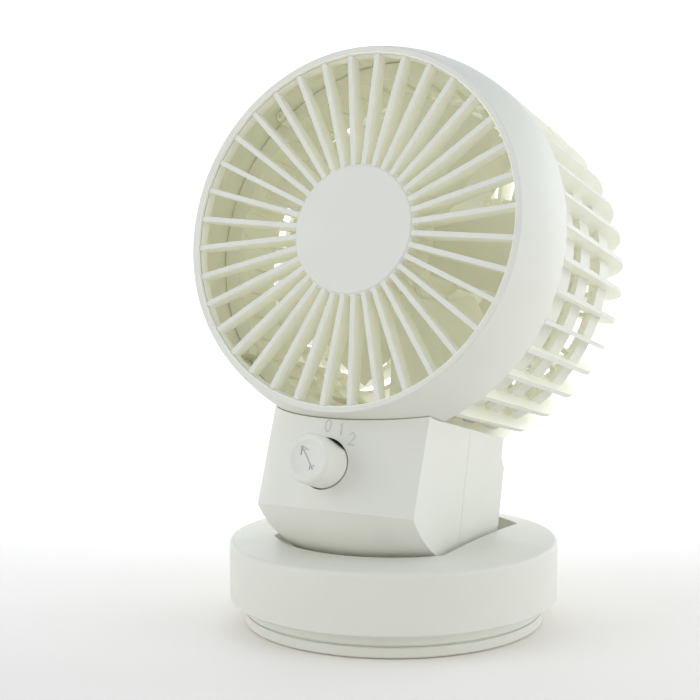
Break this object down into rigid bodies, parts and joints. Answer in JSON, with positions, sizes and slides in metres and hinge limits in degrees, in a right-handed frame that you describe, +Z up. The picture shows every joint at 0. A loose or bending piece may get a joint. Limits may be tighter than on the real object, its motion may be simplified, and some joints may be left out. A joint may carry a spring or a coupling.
{
  "type": "desk fan",
  "caption": "Small desk fan: round swinging base, tilting neck with a speed knob, drum head with radial grille, finned rear cage and twin impellers.",
  "frame": {"origin": "centre of the round foot, on the table", "axes": "+Z up, front of the fan towards -Y, +X to the right when looking at the back"},
  "size_m": [0.145, 0.1612, 0.2176],
  "materials": {
    "shell_white": "satin injection-moulded ABS, fine spark-eroded skin",
    "inner_white": "satin moulded ABS, slightly warmer",
    "impeller_white": "semi-gloss moulded polypropylene",
    "pad_rubber": "matt moulded rubber",
    "steel": "plain turned steel",
    "zinc": "zinc-plated steel",
    "brass": "turned brass",
    "acetal": "natural acetal",
    "gear_plastic": "black acetal gear",
    "board_green": "solder-masked circuit board",
    "switch_black": "black moulded switch body"
  },
  "bodies": {
    "foot": {"anti_slip_pad": "pad_rubber", "foot_pan": "shell_white", "foot_rim": "shell_white", "ballast_plate": "steel", "foot_screws": "zinc", "pivot_post": "brass", "pivot_clip": "steel", "glide_ring": "acetal", "swing_sector": "acetal", "inlet_board": "board_green", "power_inlet": "steel"},
    "turntable": {"base_housing": "shell_white", "base_floor": "shell_white", "floor_screws": "zinc", "swing_motor": "zinc", "swing_motor_screws": "zinc", "swing_switch": "switch_black", "tilt_pads": "acetal", "tilt_stud": "steel", "tilt_shoe": "acetal", "tilt_spring": "steel", "tilt_nut": "zinc"},
    "pinion": {"swing_pinion": "gear_plastic", "swing_shaft": "steel"},
    "button": {"swing_button": "shell_white"},
    "head": {"neck_front": "shell_white", "neck_rear": "shell_white", "neck_screws": "zinc", "control_board": "board_green", "speed_switch": "switch_black", "drum": "shell_white", "drum_screws": "zinc", "front_guard": "shell_white", "front_motor": "zinc", "front_motor_cap": "inner_white", "front_cap_screws": "zinc", "rear_guard": "shell_white", "guard_screws": "zinc", "rear_motor": "zinc", "rear_motor_cap": "inner_white", "rear_cap_screws": "zinc"},
    "knob": {"speed_knob": "shell_white", "switch_spindle": "steel"},
    "front_fan": {"front_impeller": "impeller_white", "front_shaft": "steel"},
    "rear_fan": {"rear_impeller": "impeller_white", "rear_shaft": "steel"}
  },
  "joints": [
    {"name": "swing", "type": "hinge", "parent": "foot", "child": "turntable", "pos_m": [0, 0, 0.0095], "axis": [0, 0, 1], "range_deg": [-45, 45]},
    {"name": "pinion_spin", "type": "hinge", "parent": "turntable", "child": "pinion", "pos_m": [0.0424, 0, 0.008], "axis": [0, 0, 1], "range_deg": [-254, 254]},
    {"name": "tilt", "type": "hinge", "parent": "turntable", "child": "head", "pos_m": [0, 0, 0.0824], "axis": [1, 0, 0], "range_deg": [0, 24]},
    {"name": "speed_turn", "type": "hinge", "parent": "head", "child": "knob", "pos_m": [0, -0.05255, 0.06826], "axis": [0, 0.9497, -0.3131], "range_deg": [0, 81]},
    {"name": "swing_button_press", "type": "slide", "parent": "turntable", "child": "button", "axis": [0, -1, 0], "range_m": [0, 0.0015], "stiffness_N_per_m": 300},
    {"name": "front_spin", "type": "hinge", "parent": "head", "child": "front_fan", "pos_m": [0, -0.03444, 0.15155], "axis": [0, 0.9705, -0.2412], "continuous": true},
    {"name": "rear_spin", "type": "hinge", "parent": "head", "child": "rear_fan", "pos_m": [0, -0.03444, 0.15155], "axis": [0, 0.9705, -0.2412], "continuous": true}
  ],
  "couplings": [
    {"joint": "pinion_spin", "follows": "swing", "ratio": 5.625}
  ]
}
